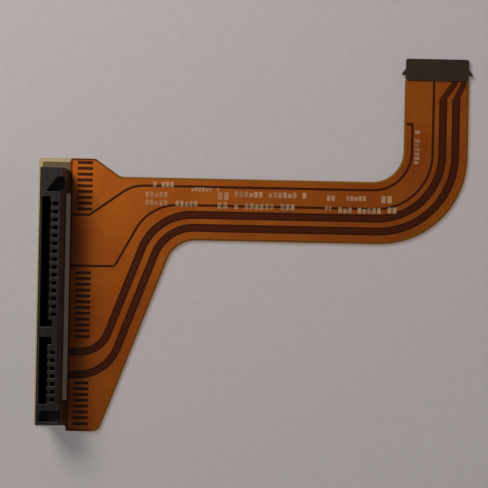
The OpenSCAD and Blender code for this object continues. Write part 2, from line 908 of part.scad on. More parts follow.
// A row of plain blocks of uneven height, with a blank between groups of them.
module mark_row(count, height) {
    for (i = [0:count - 1])
        if ((i * 5 + count) % 7 != 3)
            translate([i * 0.85 * height, 0])
                square([0.62 * height, height * ((i * 3 + count) % 4 == 0 ? 0.8 : 1)]);
}

module legend_marks() {
    color("#D9C9A4")
        layer(cover_z, ink_t) {
            for (row = MARK_ROWS)
                translate([strip_start + row[0], strip_top - row[1]]) mark_row(row[2], row[3]);
            translate([leg_left + supply_gap_in + gap_w, strip_top + leg_mark_in])
                mirror([1, -1, 0]) mark_row(leg_mark_count, leg_mark_h);
        }
}

// ------------------------------------------------------------------- nodes --

SIGNAL_NODES = [for (i = [1:signal_count]) str("signal_contact_", i)];
POWER_NODES = [for (i = [1:power_count]) str("power_contact_", i)];

stiffener_board();
shield_film();
base_film();
ground_border();
supply_plane();
return_plane();
guard_strip();
edge_ground();
pair_a_outer();
pair_a_inner();
pair_b_outer();
pair_b_inner();
cover_film();
solder_pads();
receptacle_housing();
hold_down(1);  // power_end_hold_down
hold_down(-1);  // signal_end_hold_down
tail_stiffener();
tail_contacts();
legend_marks();
for (i = [1:signal_count])
    contact(signal_contact_y(i));
for (i = [1:power_count])
    contact(power_contact_y(i));
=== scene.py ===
# %% [markdown]
# # A flat flex cable seen from straight above
#
# The part is a die-cut flexible circuit. Copper areas lie between two amber polyimide
# films, a black receptacle stands on a stiff board at the wide end, and the other end is
# a latched insertion tail. The construction comes from the CAD frame, and nothing here
# moves or resizes it. This lesson gives each layer the look of its real material, makes
# three pieces anew, and adds the solder on the lands. The three are the cover film as it
# sags over the copper's edges, the base film as a plain sheet, and the housing with its
# moulded edges.

import math

import bmesh
import bpy
import numpy as np
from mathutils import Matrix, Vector


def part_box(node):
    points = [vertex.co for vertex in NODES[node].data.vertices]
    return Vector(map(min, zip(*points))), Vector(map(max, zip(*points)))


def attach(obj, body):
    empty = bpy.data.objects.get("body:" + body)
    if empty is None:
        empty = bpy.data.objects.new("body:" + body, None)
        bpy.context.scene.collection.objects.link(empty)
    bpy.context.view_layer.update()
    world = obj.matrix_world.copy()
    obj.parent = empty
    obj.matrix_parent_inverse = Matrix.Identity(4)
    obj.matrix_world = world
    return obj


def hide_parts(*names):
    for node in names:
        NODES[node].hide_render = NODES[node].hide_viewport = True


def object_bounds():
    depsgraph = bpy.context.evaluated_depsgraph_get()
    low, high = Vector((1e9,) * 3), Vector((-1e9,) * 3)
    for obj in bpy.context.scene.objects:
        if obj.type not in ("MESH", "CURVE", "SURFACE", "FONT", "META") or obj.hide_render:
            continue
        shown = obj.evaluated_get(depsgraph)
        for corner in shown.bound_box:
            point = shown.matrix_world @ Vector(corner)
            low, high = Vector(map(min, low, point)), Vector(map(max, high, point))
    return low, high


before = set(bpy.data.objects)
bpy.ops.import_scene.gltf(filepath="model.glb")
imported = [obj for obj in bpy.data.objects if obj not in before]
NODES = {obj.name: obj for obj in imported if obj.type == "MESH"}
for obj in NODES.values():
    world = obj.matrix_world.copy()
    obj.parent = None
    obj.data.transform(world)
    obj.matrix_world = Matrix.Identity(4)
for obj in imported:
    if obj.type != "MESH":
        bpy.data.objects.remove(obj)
MM = 0.001
MERGE = 1e-7  # metres: points closer than this are one point
cad_low, cad_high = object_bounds()
print("CAD box in mm:", [round(c / MM, 2) for c in (*cad_low, *cad_high)])

# %% [markdown]
# ## Where the layers lie
#
# The new pieces take their heights and places from the nodes' boxes and outlines, so
# they follow the CAD if a thickness changes. The nodes that several steps use are
# listed here too.

# %% Levels and places from the frame
film_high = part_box("base_film")[1]
cover_low, cover_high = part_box("cover_film")
copper_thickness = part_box("supply_plane")[1].z - film_high.z
CONTACTS = sorted(name for name in NODES if "_contact_" in name)
HOLD_DOWNS = ("power_end_hold_down", "signal_end_hold_down")
COPPER = ("ground_border", "supply_plane", "return_plane", "guard_strip", "edge_ground")
TRACES = ("pair_a_outer", "pair_a_inner", "pair_b_outer", "pair_b_inner")
print("contacts:", len(CONTACTS), " copper areas:", len(COPPER), " traces:", len(TRACES))
print("copper thickness in mm:", round(copper_thickness / MM, 3))

# %% [markdown]
# ## The camera
#
# The view is straight down, as a flex is laid on a bench to be photographed. The lens
# is a moderately long one: the camera stands 2.36 view widths above the film, so the
# 7 mm tall housing is seen slightly from its right side. The view is an eighth wider
# than the part, and is turned by a little over one degree.

# %% Camera
VIEW_WIDTH = 1.13 * (cad_high.x - cad_low.x)
CAMERA_HEIGHT = 2.36 * VIEW_WIDTH
AIM_SHIFT = Vector((-1.5, 0.16, 0)) * MM
CAMERA_TURN = math.radians(1.2)

lens_angle = 2 * math.atan(VIEW_WIDTH / 2 / CAMERA_HEIGHT)
camera_data = bpy.data.cameras.new("bench_camera")
camera_data.angle = lens_angle
camera_data.clip_start = 0.01
camera_data.clip_end = 10
camera = bpy.data.objects.new("bench_camera", camera_data)
aim = (cad_low + cad_high) / 2 + AIM_SHIFT
camera.location = (aim.x, aim.y, cover_high.z + CAMERA_HEIGHT)
camera.rotation_euler = (0, 0, CAMERA_TURN)
bpy.context.scene.collection.objects.link(camera)
bpy.context.scene.camera = camera
print("lens angle in degrees:", round(math.degrees(lens_angle), 2))

# %% [markdown]
# ## Helpers for materials
#
# A colour is written as its sRGB hex value and turned to the linear numbers that the
# shaders want. One function adds a node: its settings are keywords, and its sockets are
# a dictionary whose values are numbers, colours or the output of another node. Patterns
# read Object coordinates in metres, so a scale is one over the pattern's real size.

# %% Colour, node and pattern helpers
def linear(code):
    """Linear RGBA of an sRGB hex value: c / 12.92 in the toe, else ((c + 0.055) / 1.055) ** 2.4."""
    c = np.array([int(code[i:i + 2], 16) for i in (0, 2, 4)]) / 255
    value = np.where(c <= 0.04045, c / 12.92, ((c + 0.055) / 1.055) ** 2.4)
    return (*value.tolist(), 1.0)


def add(tree, kind, sockets, **settings):
    """Adds the shader node of that kind and returns its outputs."""
    made = tree.nodes.new("ShaderNode" + kind)
    for name, value in settings.items():
        setattr(made, name, value)
    for key, value in sockets.items():
        if isinstance(value, bpy.types.NodeSocket):
            tree.links.new(value, made.inputs[key])
        else:
            made.inputs[key].default_value = value
    return made.outputs


def blank(name):
    """A new material with an empty node tree: (material, tree)."""
    made = bpy.data.materials.new(name)
    made.use_nodes = True
    made.node_tree.nodes.clear()
    return made, made.node_tree


def per(size_mm):
    """Texture scale of a pattern that repeats every size_mm millimetres."""
    return 1 / (size_mm * MM)


def dress(names, made):
    """Puts one material on CAD nodes and says on how many."""
    for name in names:
        NODES[name].data.materials.clear()
        NODES[name].data.materials.append(made)
    print(made.name, "of", len(made.node_tree.nodes), "shader nodes dresses", len(names))


print("mid grey 808080 is", round(linear("808080")[0], 3), "linear")


# %% [markdown]
# ## Polyimide cover film
#
# The film is cast polyimide, pressed over the copper in a hot press. It is clear amber:
# it swallows blue, some green and little red, so what lies under it keeps its detail and
# turns orange, and light crosses it twice. A refracting glass shader would need caustics
# to light the copper, so the film is a tinted transparent shader with a mirror-like
# sheen on top. The sheen grows towards grazing angles as f + (1 - f) * (1 - cos) ** 5,
# where f is the reflectance of polyimide seen straight on, for its index of 1.7. A trace
# of haze comes from the adhesive. The thickness drifts over a centimetre or so, and the
# press pad leaves a fine texture that breaks up the reflections.

# %% Cover film material
FILM_INDEX = 1.7
FACE_ON = ((FILM_INDEX - 1) / (FILM_INDEX + 1)) ** 2


def sheen_share(tree, normal):
    """Share of light that a film reflects: f + (1 - f) * (1 - cos) ** 5, the same from both sides."""
    facing = add(tree, "LayerWeight", {"Blend": 0.5, "Normal": normal})["Facing"]
    steep = add(tree, "Math", {0: facing, 1: 5.0}, operation="POWER")[0]
    return add(tree, "Math", {0: steep, 1: 1 - FACE_ON, 2: FACE_ON}, operation="MULTIPLY_ADD")[0]


def cover_film_material():
    made, tree = blank("laminated_polyimide_cover_film")
    place = add(tree, "TexCoord", {})["Object"]
    drift = add(tree, "TexNoise", {"Vector": place, "Scale": per(14), "Detail": 2.0})[0]
    tint = add(tree, "Mix", {0: drift, 6: linear("F3CC74"), 7: linear("EDC066")}, data_type="RGBA")[2]
    clear = add(tree, "BsdfTransparent", {"Color": tint})[0]
    press = add(tree, "TexNoise", {"Vector": place, "Scale": per(0.35), "Detail": 3.0})[0]
    cockle = add(tree, "TexNoise", {"Vector": place, "Scale": per(6), "Detail": 1.0})[0]
    fine = add(tree, "Bump", {"Height": press, "Strength": 0.25, "Distance": 0.004 * MM})[0]
    wavy = add(tree, "Bump", {"Height": cockle, "Strength": 0.5, "Distance": 0.08 * MM, "Normal": fine})[0]
    rough = add(tree, "MapRange", {0: press, 3: 0.18, 4: 0.28})[0]
    sheen = add(tree, "BsdfAnisotropic", {"Color": (1, 1, 1, 1), "Roughness": rough, "Normal": wavy})[0]
    glossy = add(tree, "MixShader", {0: sheen_share(tree, wavy), 1: clear, 2: sheen})[0]
    haze = add(tree, "BsdfDiffuse", {"Color": linear("9A4A0C")})[0]
    film = add(tree, "MixShader", {0: 0.03, 1: glossy, 2: haze})[0]
    add(tree, "OutputMaterial", {"Surface": film})
    return made


COVER_FILM = cover_film_material()
print("film reflects", round(100 * FACE_ON, 1), "% of what falls on it face on")

# %% [markdown]
# ## Adhesive side of the film
#
# The cover film's underside and its cut edges are its adhesive: clear, without a sheen
# of its own because it has wetted the base film. It is a faintly tinted transparent
# shader with a little brown scatter, clouded by the flow of the glue.

# %% Adhesive material
def adhesive_material():
    made, tree = blank("cured_acrylic_adhesive")
    place = add(tree, "TexCoord", {})["Object"]
    flow = add(tree, "TexNoise", {"Vector": place, "Scale": per(2), "Detail": 3.0})[0]
    tint = add(tree, "Mix", {0: flow, 6: linear("FFF9EC"), 7: linear("FAEFD8")}, data_type="RGBA")[2]
    clear = add(tree, "BsdfTransparent", {"Color": tint})[0]
    scatter = add(tree, "BsdfDiffuse", {"Color": linear("7A3A0C")})[0]
    glue = add(tree, "MixShader", {0: 0.05, 1: clear, 2: scatter})[0]
    add(tree, "OutputMaterial", {"Surface": glue})
    return made


ADHESIVE = adhesive_material()
print(ADHESIVE.name, "of", len(ADHESIVE.node_tree.nodes), "shader nodes")

# %% [markdown]
# ## Polyimide base film
#
# The base film is the same amber polyimide with the copper bonded to it. It shows at the
# die-cut rim and in the gaps. It scatters more than the cover film, because its surface
# was roughened to take the adhesive, so part of the light stays in it as a red-brown.
# Beside the housing's ends no cover film lies on it: the roughened face is bare there,
# and it looks matt and khaki, the more so as it is bonded to the pale board.

# %% Base film material
def base_film_material():
    made, tree = blank("cast_polyimide_base_film")
    place = add(tree, "TexCoord", {})["Object"]
    drift = add(tree, "TexNoise", {"Vector": place, "Scale": per(5), "Detail": 3.0})[0]
    tint = add(tree, "Mix", {0: drift, 6: linear("F9EFC3"), 7: linear("F5E7B2")}, data_type="RGBA")[2]
    clear = add(tree, "BsdfTransparent", {"Color": tint})[0]
    body = add(tree, "Mix", {0: drift, 6: linear("82481E"), 7: linear("6E3A18")}, data_type="RGBA")[2]
    from_left = add(tree, "SeparateXYZ", {0: place})[0]
    covered = add(tree, "MapRange", {0: from_left, 1: COVER_EDGE - 0.1 * MM, 2: COVER_EDGE})[0]
    inside = add(tree, "Mix", {0: covered, 6: linear("7F7053"), 7: body}, data_type="RGBA")[2]
    share = add(tree, "MapRange", {0: covered, 3: 0.75, 4: 0.18})[0]
    solid = add(tree, "BsdfDiffuse", {"Color": inside, "Roughness": 0.4})[0]
    film = add(tree, "MixShader", {0: share, 1: clear, 2: solid})[0]
    add(tree, "OutputMaterial", {"Surface": film})
    return made


COVER_EDGE = cover_low.x
BASE_FILM = base_film_material()
print("base film: bare to the left of X =", round(COVER_EDGE / MM, 2), "mm")

# %% [markdown]
# ## Rolled copper foil
#
# The copper is rolled foil, 35 micrometres thick. Rolling leaves fine streaks, here
# along X, a few hundredths of a millimetre apart; they are drawn a little coarser so
# that they show. The foil was micro-etched before lamination, which makes it satin, and
# heat has browned it in soft patches. A metal takes its colour from its reflection, so
# clean copper is a pale salmon, and it is the amber film above that makes it orange.

# %% Copper material
def copper_material():
    made, tree = blank("rolled_copper_foil")
    place = add(tree, "TexCoord", {})["Object"]
    along = add(tree, "Mapping", {"Vector": place, "Scale": (0.04, 1, 1)})[0]
    streak = add(tree, "TexNoise", {"Vector": along, "Scale": per(0.12), "Detail": 3.0})[0]
    patch = add(tree, "TexNoise", {"Vector": place, "Scale": per(9), "Detail": 4.0, "Roughness": 0.55})[0]
    clean = linear("EEC2A4")
    brown = linear("D9A07A")
    tone = add(tree, "MapRange", {0: patch, 1: 0.35, 2: 0.7})[0]
    foil = add(tree, "Mix", {0: tone, 6: clean, 7: brown}, data_type="RGBA")[2]
    rough = add(tree, "MapRange", {0: streak, 3: 0.46, 4: 0.55})[0]
    relief = add(tree, "Bump", {"Height": streak, "Strength": 0.3, "Distance": 0.006 * MM})[0]
    metal = add(tree, "BsdfPrincipled", {
        "Base Color": foil, "Metallic": 1.0, "Roughness": rough, "Normal": relief,
    })[0]
    add(tree, "OutputMaterial", {"Surface": metal})
    return made


ROLLED_COPPER = copper_material()
dress(COPPER, ROLLED_COPPER)

# %% [markdown]
# ## Brown-oxide copper of the signal traces
#
# The four signal traces are thin lines in the dark channels. They were given a brown
# oxide finish, which grips the adhesive: fine, velvety copper oxide crystals that turn
# the metal dark and dull, a little uneven along its length.

# %% Trace material
def oxide_material():
    made, tree = blank("brown_oxide_copper")
    place = add(tree, "TexCoord", {})["Object"]
    growth = add(tree, "TexNoise", {"Vector": place, "Scale": per(0.8), "Detail": 3.0})[0]
    tone = add(tree, "Mix", {0: growth, 6: linear("6E4430"), 7: linear("8A5A42")}, data_type="RGBA")[2]
    rough = add(tree, "MapRange", {0: growth, 3: 0.55, 4: 0.75})[0]
    metal = add(tree, "BsdfPrincipled", {"Base Color": tone, "Metallic": 1.0, "Roughness": rough})[0]
    add(tree, "OutputMaterial", {"Surface": metal})
    return made


BROWN_OXIDE = oxide_material()
dress(TRACES, BROWN_OXIDE)

# %% [markdown]
# ## Shielding film
#
# Under the base film lies a black conductive shielding film. Nothing of it shows
# directly from above, but it makes the copper-free channels dark, because light that
# crosses both amber films ends there. From below it is the part's main surface: dull,
# slightly mottled, with the grain of the release paper that it was pressed from.

# %% Shielding film material
def shield_material():
    made, tree = blank("black_conductive_shielding_film")
    place = add(tree, "TexCoord", {})["Object"]
    grain = add(tree, "TexNoise", {"Vector": place, "Scale": per(0.25), "Detail": 4.0})[0]
    tone = add(tree, "Mix", {0: grain, 6: linear("15120F"), 7: linear("262019")}, data_type="RGBA")[2]
    rough = add(tree, "MapRange", {0: grain, 3: 0.5, 4: 0.7})[0]
    relief = add(tree, "Bump", {"Height": grain, "Strength": 0.4, "Distance": 0.01 * MM})[0]
    skin = add(tree, "BsdfPrincipled", {"Base Color": tone, "Roughness": rough, "Normal": relief})[0]
    add(tree, "OutputMaterial", {"Surface": skin})
    return made


dress(["shield_film"], shield_material())

# %% [markdown]
# ## Glass-epoxy stiffener board
#
# The stiffener is a woven glass and epoxy laminate without copper, so it is a pale
# greenish yellow. The weave shows as a faint plaid with threads 0.5 mm apart, drawn by
# two crossed sine waves. Its surface is the epoxy's: slightly glossy, with the cloth's
# relief under it.

# %% Board material
WAVE_RADIANS = 20  # a wave texture of scale 1 turns through 20 radians in a metre
CLOTH_SCALE = per(0.5) * math.tau / WAVE_RADIANS


def board_material():
    made, tree = blank("woven_glass_epoxy_laminate")
    place = add(tree, "TexCoord", {})["Object"]
    thread = {"Vector": place, "Scale": CLOTH_SCALE, "Distortion": 0.6}
    warp = add(tree, "TexWave", thread, bands_direction="X")[1]
    weft = add(tree, "TexWave", thread, bands_direction="Y")[1]
    cloth = add(tree, "Math", {0: warp, 1: weft}, operation="MULTIPLY")[0]
    tone = add(tree, "Mix", {0: cloth, 6: linear("B5A27A"), 7: linear("C4B48C")}, data_type="RGBA")[2]
    relief = add(tree, "Bump", {"Height": cloth, "Strength": 0.35, "Distance": 0.02 * MM})[0]
    resin = add(tree, "BsdfPrincipled", {
        "Base Color": tone, "Roughness": 0.38, "IOR": 1.55, "Normal": relief,
    })[0]
    add(tree, "OutputMaterial", {"Surface": resin})
    return made


dress(["stiffener_board"], board_material())

# %% [markdown]
# ## Moulded connector resin
#
# The housing is a glass-filled liquid crystal polymer, moulded black. It fills thin
# walls, and its short glass fibres leave a satin skin with fine pale flow streaks that
# run the length of the part. Where it is paler it is also a little rougher, and a fine
# relief of fibre ends softens its reflections.

# %% Housing material
def resin_material():
    made, tree = blank("moulded_glass_filled_polymer")
    place = add(tree, "TexCoord", {})["Object"]
    along = add(tree, "Mapping", {"Vector": place, "Scale": (1, 0.12, 1)})[0]
    flow = add(tree, "TexNoise", {"Vector": along, "Scale": per(0.9), "Detail": 5.0, "Roughness": 0.6})[0]
    spark = add(tree, "TexNoise", {"Vector": place, "Scale": per(0.07), "Detail": 2.0})[0]
    blend = add(tree, "MapRange", {0: flow, 1: 0.42, 2: 0.72})[0]
    tone = add(tree, "Mix", {0: blend, 6: linear("171413"), 7: linear("2B2524")}, data_type="RGBA")[2]
    rough = add(tree, "MapRange", {0: flow, 3: 0.33, 4: 0.39})[0]
    relief = add(tree, "Bump", {"Height": spark, "Strength": 0.35, "Distance": 0.008 * MM})[0]
    resin = add(tree, "BsdfPrincipled", {
        "Base Color": tone, "Roughness": rough, "IOR": 1.6, "Normal": relief,
    })[0]
    add(tree, "OutputMaterial", {"Surface": resin})
    return made


RESIN = resin_material()
print(RESIN.name, "of", len(RESIN.node_tree.nodes), "shader nodes")

# %% [markdown]
# ## Gold-flashed contacts
#
# The contacts are stamped copper alloy with a flash of gold: warm and fairly smooth, so
# each one is a bright fleck at the mouth of its dark bore. The die left fine marks on
# them as it drew the metal, and noise that is stretched along X and Z gives those.

# %% Contact material
def gold_flash_material():
    made, tree = blank("gold_flashed_contact_alloy")
    place = add(tree, "TexCoord", {})["Object"]
    along = add(tree, "Mapping", {"Vector": place, "Scale": (0.2, 1, 0.2)})[0]
    mark = add(tree, "TexNoise", {"Vector": along, "Scale": per(0.06), "Detail": 2.0})[0]
    tone = add(tree, "Mix", {0: mark, 6: linear("D9B566"), 7: linear("B98E45")}, data_type="RGBA")[2]
    rough = add(tree, "MapRange", {0: mark, 3: 0.22, 4: 0.36})[0]
    metal = add(tree, "BsdfPrincipled", {"Base Color": tone, "Metallic": 1.0, "Roughness": rough})[0]
    add(tree, "OutputMaterial", {"Surface": metal})
    return made


GOLD_FLASH = gold_flash_material()
dress([*CONTACTS, "tail_contacts"], GOLD_FLASH)

# %% [markdown]
# ## Tin of the lands and hold-downs
#
# The lands, their solder and the hold-downs are reflowed tin: a cool grey metal whose
# surface froze in small grains. Each grain turns the light a little differently, which
# reads as a soft sparkle. A Voronoi pattern has such cells. They are 0.18 mm across
# here, coarser than real grains, so that they show.

# %% Tin material
def tin_material():
    made, tree = blank("reflowed_tin")
    place = add(tree, "TexCoord", {})["Object"]
    grain = add(tree, "TexVoronoi", {"Vector": place, "Scale": per(0.18)})[0]
    tone = add(tree, "Mix", {0: grain, 6: linear("C4BDAE"), 7: linear("97907F")}, data_type="RGBA")[2]
    rough = add(tree, "MapRange", {0: grain, 3: 0.24, 4: 0.42})[0]
    relief = add(tree, "Bump", {"Height": grain, "Strength": 0.3, "Distance": 0.01 * MM})[0]
    metal = add(tree, "BsdfPrincipled", {
        "Base Color": tone, "Metallic": 1.0, "Roughness": rough, "Normal": relief,
    })[0]
    add(tree, "OutputMaterial", {"Surface": metal})
    return made


TIN = tin_material()
dress([*HOLD_DOWNS, "solder_pads"], TIN)

# %% [markdown]
# ## Tail stiffener
#
# The tail carries a dark brown polyimide stiffener, bonded with a thermoset adhesive.
# It is too thick to let light through, so it reads as a solid: satin, slightly uneven
# where the glue flowed, and much darker than the film beside it.

# %% Tail stiffener material
def tail_material():
    made, tree = blank("brown_polyimide_stiffener")
    place = add(tree, "TexCoord", {})["Object"]
    cloud = add(tree, "TexNoise", {"Vector": place, "Scale": per(3), "Detail": 4.0})[0]
    grain = add(tree, "TexNoise", {"Vector": place, "Scale": per(0.2), "Detail": 3.0})[0]
    tone = add(tree, "Mix", {0: cloud, 6: linear("251B10"), 7: linear("34261A")}, data_type="RGBA")[2]
    rough = add(tree, "MapRange", {0: grain, 3: 0.36, 4: 0.55})[0]
    relief = add(tree, "Bump", {"Height": grain, "Strength": 0.3, "Distance": 0.008 * MM})[0]
    film = add(tree, "BsdfPrincipled", {
        "Base Color": tone, "Roughness": rough, "IOR": 1.5, "Normal": relief,
    })[0]
    add(tree, "OutputMaterial", {"Surface": film})
    return made


dress(["tail_stiffener"], tail_material())

# %% [markdown]
# ## Printed marks
#
# The marks are a screen-printed epoxy ink. It was printed through a mesh onto a film
# that hardly takes ink, so it is thin, speckled and lets some amber through. The ink's
# alpha carries that: fine noise for the mesh, slow noise for a screen that ran dry. The
# speckle is 0.15 mm, coarser than the real mesh, so that it shows.

# %% Ink material
def ink_material():
    made, tree = blank("screen_printed_epoxy_ink")
    place = add(tree, "TexCoord", {})["Object"]
    mesh = add(tree, "TexNoise", {"Vector": place, "Scale": per(0.15), "Detail": 2.0})[0]
    fade = add(tree, "TexNoise", {"Vector": place, "Scale": per(3.5), "Detail": 1.0})[0]
    both = add(tree, "Math", {0: mesh, 1: fade}, operation="ADD")[0]
    cover = add(tree, "MapRange", {0: both, 1: 0.75, 2: 1.15, 3: 0.05, 4: 0.31})[0]
    ink = add(tree, "BsdfPrincipled", {
        "Base Color": linear("E0C39A"), "Roughness": 0.6, "Alpha": cover,
    })[0]
    add(tree, "OutputMaterial", {"Surface": ink})
    return made


dress(["legend_marks"], ink_material())

# %% [markdown]
# ## The cover film as it lies over the copper
#
# Pressed over etched copper, a film sinks a little into every gap, and the soft shoulder
# along each copper edge is what catches the light. The CAD film is flat on top, so a new
# sheet replaces it. A cloth simulation would give the same shoulder at great cost, so
# the top is a height field on a fine grid: where the copper under it ends, it sinks.
# The outlines come from the CAD nodes themselves: a side that only one of the top's
# triangles has lies on the outline, and every other side is shared by two.

# %% Outline of a flat top
def open_sides(faces):
    """The sides that belong to one face only: pairs of corners that occur once, in either order."""
    corners = faces.shape[1]
    sides = np.concatenate([faces[:, [i, (i + 1) % corners]] for i in range(corners)])
    first, count = np.unique(np.sort(sides, 1), axis=0, return_index=True, return_counts=True)[1:]
    return sides[first[count == 1]]


def top_edges(name):
    """Outline of a node's flat top, as segments: the open sides of its highest triangles."""
    mesh = NODES[name].data
    mesh.calc_loop_triangles()
    places = np.empty(3 * len(mesh.vertices), np.float32)
    mesh.vertices.foreach_get("co", places)
    corners = np.empty(3 * len(mesh.loop_triangles), np.int32)
    mesh.loop_triangles.foreach_get("vertices", corners)
    places = places.reshape(-1, 3).astype(float)
    merged, point = np.unique(np.round(places / MERGE), axis=0, return_index=True, return_inverse=True)[1:]
    places = places[merged]
    triangles = point.ravel()[corners].reshape(-1, 3)
    flat = (places[triangles, 2] > places[:, 2].max() - MERGE).all(1)
    return places[open_sides(triangles[flat]), :2]


film_edges = top_edges("cover_film")
copper_edges = np.concatenate([top_edges(name) for name in COPPER + TRACES])
print("outline edges: film", len(film_edges), " copper", len(copper_edges))

# %% [markdown]
# ## A plan of the film and one of the copper
#
# A plan is a grid of ones and zeros, drawn by counting how often a row has crossed the
# outline. The copper's plan is then blurred over 0.12 mm, a little more than the film
# and its adhesive are thick, which turns its hard edge into the film's soft shoulder.

# %% Plan and blur
def plan(segments, xs, ys):
    """1 inside the outline, 0 outside: inside, an odd number of edges lies left of a point."""
    (x0, y0), (x1, y1) = segments[:, 0].T, segments[:, 1].T
    crosses = (y0[:, None] <= ys) != (y1[:, None] <= ys)
    edge, row = np.nonzero(crosses)
    share = (ys[row] - y0[edge]) / (y1[edge] - y0[edge])
    column = np.searchsorted(xs, x0[edge] + share * (x1[edge] - x0[edge]))
    turns = np.zeros((len(ys), len(xs) + 1), int)
    np.add.at(turns, (row, column), 1)
    return np.cumsum(turns, axis=1)[:, :-1] % 2


def blurred(field, sigma):
    """The field under a bell curve exp(-d * d / (2 * sigma * sigma)), d in cells, along Y, then X."""
    reach = int(3 * sigma) + 1
    offsets = np.arange(-reach, reach + 1)
    bell = np.exp(-offsets**2 / (2 * sigma**2))
    bell /= bell.sum()
    for axis in (0, 1):
        padded = np.pad(field, [(reach, reach) if a == axis else (0, 0) for a in (0, 1)])
        length = field.shape[axis]
        field = sum(w * np.take(padded, np.arange(length) + i, axis) for i, w in enumerate(bell))
    return field


FINE = 3  # plan cells to one cell of the sheet
CELL = 0.15 * MM
SAG_BLUR = 0.12 * MM
SAG_DEPTH = 0.45 * copper_thickness

xs = np.arange(cover_low.x - 2 * CELL, cover_high.x + 3 * CELL, CELL / FINE)
ys = np.arange(cover_low.y - 2 * CELL, cover_high.y + 3 * CELL, CELL / FINE)
copper_plan = blurred(plan(copper_edges, xs, ys).astype(float), FINE * SAG_BLUR / CELL)
film_plan = plan(film_edges, xs, ys)
film_area = film_plan.sum() * (CELL / FINE / MM) ** 2
print("grid:", copper_plan.shape, " film area in mm2:", round(film_area, 1))

# %% [markdown]
# ## The sheet's top and its rim
#
# A grid has a stepped rim, and the real film was cut by a steel die. So points too near
# the outline are dropped, and the outermost ones that stay are pushed onto the outline.
# They keep their height, so the rim is as clean as the cut and the top stays smooth.

# %% Nearest point of an outline
def nearest_on(segments, points):
    """Nearest point on any segment, and how far: start + t * run, with t held in 0..1."""
    start = segments[:, 0]
    run = segments[:, 1] - start
    length2 = np.maximum((run**2).sum(1), MERGE**2)
    best = np.full(len(points), np.inf)
    found = points.copy()
    for a, d, l2 in zip(start, run, length2):
        t = np.clip(((points - a) @ d) / l2, 0, 1)
        spot = a + t[:, None] * d
        away = ((spot - points) ** 2).sum(1)
        nearer = away < best
        best[nearer] = away[nearer]
        found[nearer] = spot[nearer]
    return found, np.sqrt(best)


box_corner = np.array([[cover_high.x, cover_low.y]])
print("outline to its box's corner in mm:", round(nearest_on(film_edges, box_corner)[1][0] / MM, 1))

# %% Top of the sheet
COCKLE = 0.004 * MM
WAVE_ONE = (4.1 * MM, 6.3 * MM)  # lengths that one radian takes along X and along Y
WAVE_TWO = (8.9 * MM, 3.7 * MM)
RIM_ROOM = 0.3 * CELL


def surrounded(inside):
    """True where a point and its eight neighbours are all inside."""
    rows, columns = inside.shape
    found = np.zeros_like(inside)
    found[1:-1, 1:-1] = np.all([
        inside[1 + i:rows - 1 + i, 1 + j:columns - 1 + j] for i in (-1, 0, 1) for j in (-1, 0, 1)
    ], axis=0)
    return found


def draped_top():
    """z = high - depth * (1 - blurred copper) + cockle * (wave - 1), wave of two crossed sines."""
    inside = film_plan[::FINE, ::FINE].astype(bool)
    raised = copper_plan[::FINE, ::FINE]
    px, py = np.meshgrid(xs[::FINE], ys[::FINE])
    wave = np.sin(px / WAVE_ONE[0] + py / WAVE_ONE[1]) * np.sin(py / WAVE_TWO[1] - px / WAVE_TWO[0])
    pz = cover_high.z - SAG_DEPTH * (1 - raised) + COCKLE * (wave - 1)

    rim = np.nonzero(inside & ~surrounded(inside))
    away = nearest_on(film_edges, np.stack([px[rim], py[rim]], 1))[1]
    inside[rim] = away > RIM_ROOM

    row, column = np.nonzero(inside[:-1, :-1] & inside[1:, :-1] & inside[:-1, 1:] & inside[1:, 1:])
    index = np.arange(inside.size).reshape(inside.shape)
    faces = np.stack([
        index[row, column], index[row, column + 1],
        index[row + 1, column + 1], index[row + 1, column],
    ], 1)
    used, faces = np.unique(faces, return_inverse=True)
    points = np.stack([px.ravel()[used], py.ravel()[used], pz.ravel()[used]], 1)
    return points, faces.reshape(-1, 4)


top_points, top_faces = draped_top()
lowest, highest = top_points[:, 2].min(), top_points[:, 2].max()
print("top faces:", len(top_faces), " sag in mm:", round((highest - lowest) / MM, 3))

# %% Rim of the sheet
rim_sides = open_sides(top_faces)
border = np.unique(rim_sides)
top_points[border, :2] = nearest_on(film_edges, top_points[border, :2])[0]
print("rim sides:", len(rim_sides))

# %% [markdown]
# ## Closing the sheet
#
# A clear film has to be a closed body, because its look counts each surface that light
# crosses. The top is copied down to just above the base film, walls join the two rims,
# and the underside is filled as a flat face. Walls and underside are the adhesive's.

# %% Make the cover film
HAIR = 0.002 * MM  # a gap that keeps two faces from sharing a place
SHARP_RIM = math.radians(40)


def piece_of(name, mesh):
    """A finished piece at the origin, riding on the part under its root body."""
    piece = bpy.data.objects.new(name, mesh)
    bpy.context.scene.collection.objects.link(piece)
    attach(piece, "root")
    return piece


below = top_points.copy()
below[:, 2] = film_high.z + HAIR
rim_below = rim_sides + len(top_points)
walls = np.stack([rim_sides[:, 1], rim_sides[:, 0], rim_below[:, 0], rim_below[:, 1]], 1)
mesh = bpy.data.meshes.new("cover_film_sheet")
mesh.from_pydata(
    np.concatenate([top_points, below]).tolist(), [], [*top_faces.tolist(), *walls.tolist()])
mesh.materials.append(COVER_FILM)
mesh.materials.append(ADHESIVE)

work = bmesh.new()
work.from_mesh(mesh)
bmesh.ops.delete(work, geom=[v for v in work.verts if not v.link_faces], context="VERTS")
rim = [e for e in work.edges if e.is_boundary]
underside = bmesh.ops.holes_fill(work, edges=rim, sides=0)["faces"]
for face in (*underside, *{f for e in rim for f in e.link_faces}):
    face.material_index = 1
work.to_mesh(mesh)
work.free()
mesh.shade_smooth()
mesh.set_sharp_from_angle(angle=SHARP_RIM)
cover_sheet = piece_of("cover_film_sheet", mesh)
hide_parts("cover_film")
print("cover film:", len(mesh.polygons), "faces,", len(underside), "of them below")

